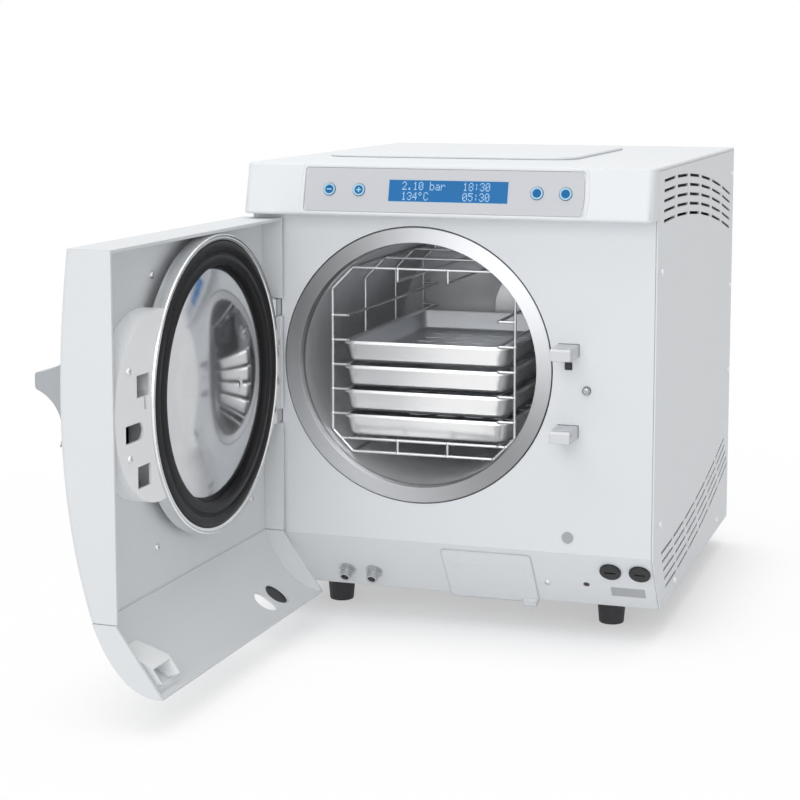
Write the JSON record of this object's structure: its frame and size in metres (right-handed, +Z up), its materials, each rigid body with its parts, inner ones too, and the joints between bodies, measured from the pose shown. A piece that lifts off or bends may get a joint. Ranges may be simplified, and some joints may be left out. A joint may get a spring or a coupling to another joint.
{
  "type": "bench-top steam steriliser",
  "caption": "Bench-top autoclave with a round chamber, hinged domed door held open, wire rack with trays, sloped control fascia and vented sides.",
  "frame": {"origin": "bench plane below the middle of the case's front panel", "axes": "+X to the right seen from the front, +Y from the front panel to the rear, +Z up"},
  "size_m": [0.4851, 0.8907, 0.4873],
  "materials": {
    "case_paint": "satin",
    "case_moulding": "satin",
    "door_shell": "satin",
    "door_liner": "satin",
    "latch_white": "satin",
    "handle_grey": "satin",
    "panel_grey": "matte",
    "display_blue": "gloss",
    "button_blue": "gloss",
    "steel_brushed": "brushed",
    "steel_polished": "polished",
    "steel_parts": "satin",
    "screw_steel": "satin",
    "rack_wire": "bright",
    "tray_metal": "satin",
    "rubber_black": "matte",
    "plastic_black": "satin",
    "plug_grey": "matte",
    "reset_red": "matte",
    "plate_silver": "satin",
    "coupling_metal": "satin",
    "tank_plastic": "matte",
    "insulation": "matte",
    "machinery": "matte"
  },
  "bodies": {
    "case": {"base_plate": "steel_parts", "side_panel_left": "case_paint", "side_panel_right": "case_paint", "rear_panel": "case_paint", "hood": "case_moulding", "control_panel": "panel_grey", "display_window": "display_blue", "front_panel": "case_paint", "casing_screws": "screw_steel", "feet": "rubber_black", "water_tank": "tank_plastic", "chamber_flange": "steel_brushed", "pressure_vessel": "steel_brushed", "chamber_insulation": "insulation", "steam_baffle": "steel_brushed", "latch_hook_upper": "steel_parts", "latch_hook_lower": "steel_parts", "lock_solenoid": "machinery", "door_sensor": "plastic_black", "blanking_plug": "plug_grey", "rating_plate": "plate_silver", "drain_coupling_waste": "coupling_metal", "drain_coupling_feed": "coupling_metal", "hinge_brackets": "steel_parts", "hinge_pin": "steel_parts", "vacuum_pump": "machinery", "steam_generator": "machinery", "cooling_fan": "plastic_black", "power_inlet": "plastic_black", "exhaust_nozzle": "coupling_metal"},
    "door": {"door_cover": "door_shell", "door_skirt": "door_shell", "access_duct": "latch_white", "door_liner": "door_liner", "hinge_block": "door_liner", "door_beam": "steel_parts", "door_plate": "steel_polished", "door_gasket": "rubber_black", "latch_housing": "latch_white", "door_screws": "screw_steel"},
    "closure": {"closure_handle": "handle_grey", "locking_slider": "steel_parts"},
    "rack": {"instrument_rack": "rack_wire"},
    "tray_1_body": {"tray_1": "tray_metal"},
    "tray_2_body": {"tray_2": "tray_metal"},
    "tray_3_body": {"tray_3": "tray_metal"},
    "tray_4_body": {"tray_4": "tray_metal"},
    "button_minus_body": {"button_minus": "button_blue"},
    "button_plus_body": {"button_plus": "button_blue"},
    "button_option_body": {"button_option": "button_blue"},
    "button_start_body": {"button_start": "button_blue"},
    "lock_bolt_body": {"lock_bolt": "steel_parts"},
    "reset_body": {"reset_button": "reset_red"},
    "fuse_left_body": {"fuse_cap_left": "plastic_black"},
    "fuse_right_body": {"fuse_cap_right": "plastic_black"},
    "filter_body": {"filter_drawer": "case_moulding", "filter_mat": "insulation"},
    "lid_body": {"tank_lid": "case_moulding"},
    "fan_body": {"fan_rotor": "plastic_black"},
    "rocker_body": {"power_switch": "plastic_black"}
  },
  "joints": [
    {"name": "door_hinge", "type": "hinge", "parent": "case", "child": "door", "pos_m": [-0.187, -0.0115, 0.2785], "axis": [0, 0, -1], "range_deg": [-91.5, 0]},
    {"name": "closure_slide", "type": "slide", "parent": "door", "child": "closure", "axis": [0, 0, -1], "range_m": [0, 0.024]},
    {"name": "rack_slide", "type": "slide", "parent": "case", "child": "rack", "axis": [0, -1, 0], "range_m": [0, 0.3]},
    {"name": "tray_1_slide", "type": "slide", "parent": "rack", "child": "tray_1_body", "axis": [0, -1, 0], "range_m": [0, 0.25]},
    {"name": "tray_2_slide", "type": "slide", "parent": "rack", "child": "tray_2_body", "axis": [0, -1, 0], "range_m": [0, 0.25]},
    {"name": "tray_3_slide", "type": "slide", "parent": "rack", "child": "tray_3_body", "axis": [0, -1, 0], "range_m": [0, 0.25]},
    {"name": "tray_4_slide", "type": "slide", "parent": "rack", "child": "tray_4_body", "axis": [0, -1, 0], "range_m": [0, 0.25]},
    {"name": "button_minus_press", "type": "slide", "parent": "case", "child": "button_minus_body", "axis": [0, 0.9654, -0.2609], "range_m": [0, 0.001], "stiffness_N_per_m": 600, "springref_m": -0.001},
    {"name": "button_plus_press", "type": "slide", "parent": "case", "child": "button_plus_body", "axis": [0, 0.9654, -0.2609], "range_m": [0, 0.001], "stiffness_N_per_m": 600, "springref_m": -0.001},
    {"name": "button_option_press", "type": "slide", "parent": "case", "child": "button_option_body", "axis": [0, 0.9654, -0.2609], "range_m": [0, 0.001], "stiffness_N_per_m": 600, "springref_m": -0.001},
    {"name": "button_start_press", "type": "slide", "parent": "case", "child": "button_start_body", "axis": [0, 0.9654, -0.2609], "range_m": [0, 0.001], "stiffness_N_per_m": 600, "springref_m": -0.001},
    {"name": "lock_bolt_slide", "type": "slide", "parent": "case", "child": "lock_bolt_body", "axis": [0, -1, 0], "range_m": [0, 0.026]},
    {"name": "reset_press", "type": "slide", "parent": "case", "child": "reset_body", "axis": [0, 0.8076, 0.5897], "range_m": [0, 0.0015], "stiffness_N_per_m": 600, "springref_m": -0.001},
    {"name": "fuse_left_turn", "type": "hinge", "parent": "case", "child": "fuse_left_body", "pos_m": [0.1666, 0.01327, 0.07683], "axis": [0, -0.8076, -0.5897], "range_deg": [0, 90]},
    {"name": "fuse_right_turn", "type": "hinge", "parent": "case", "child": "fuse_right_body", "pos_m": [0.1966, 0.01327, 0.07683], "axis": [0, -0.8076, -0.5897], "range_deg": [0, 90]},
    {"name": "filter_slide", "type": "slide", "parent": "case", "child": "filter_body", "axis": [0, -1, 0], "range_m": [0, 0.05]},
    {"name": "lid_lift", "type": "slide", "parent": "case", "child": "lid_body", "axis": [0, 0, 1], "range_m": [0, 0.05]},
    {"name": "fan_spin", "type": "hinge", "parent": "case", "child": "fan_body", "pos_m": [0.14, 0.475, 0.36], "axis": [0, 1, 0], "continuous": true},
    {"name": "rocker_tilt", "type": "hinge", "parent": "case", "child": "rocker_body", "pos_m": [0.116, 0.481, 0.08], "axis": [1, 0, 0], "range_deg": [0, 16]}
  ]
}
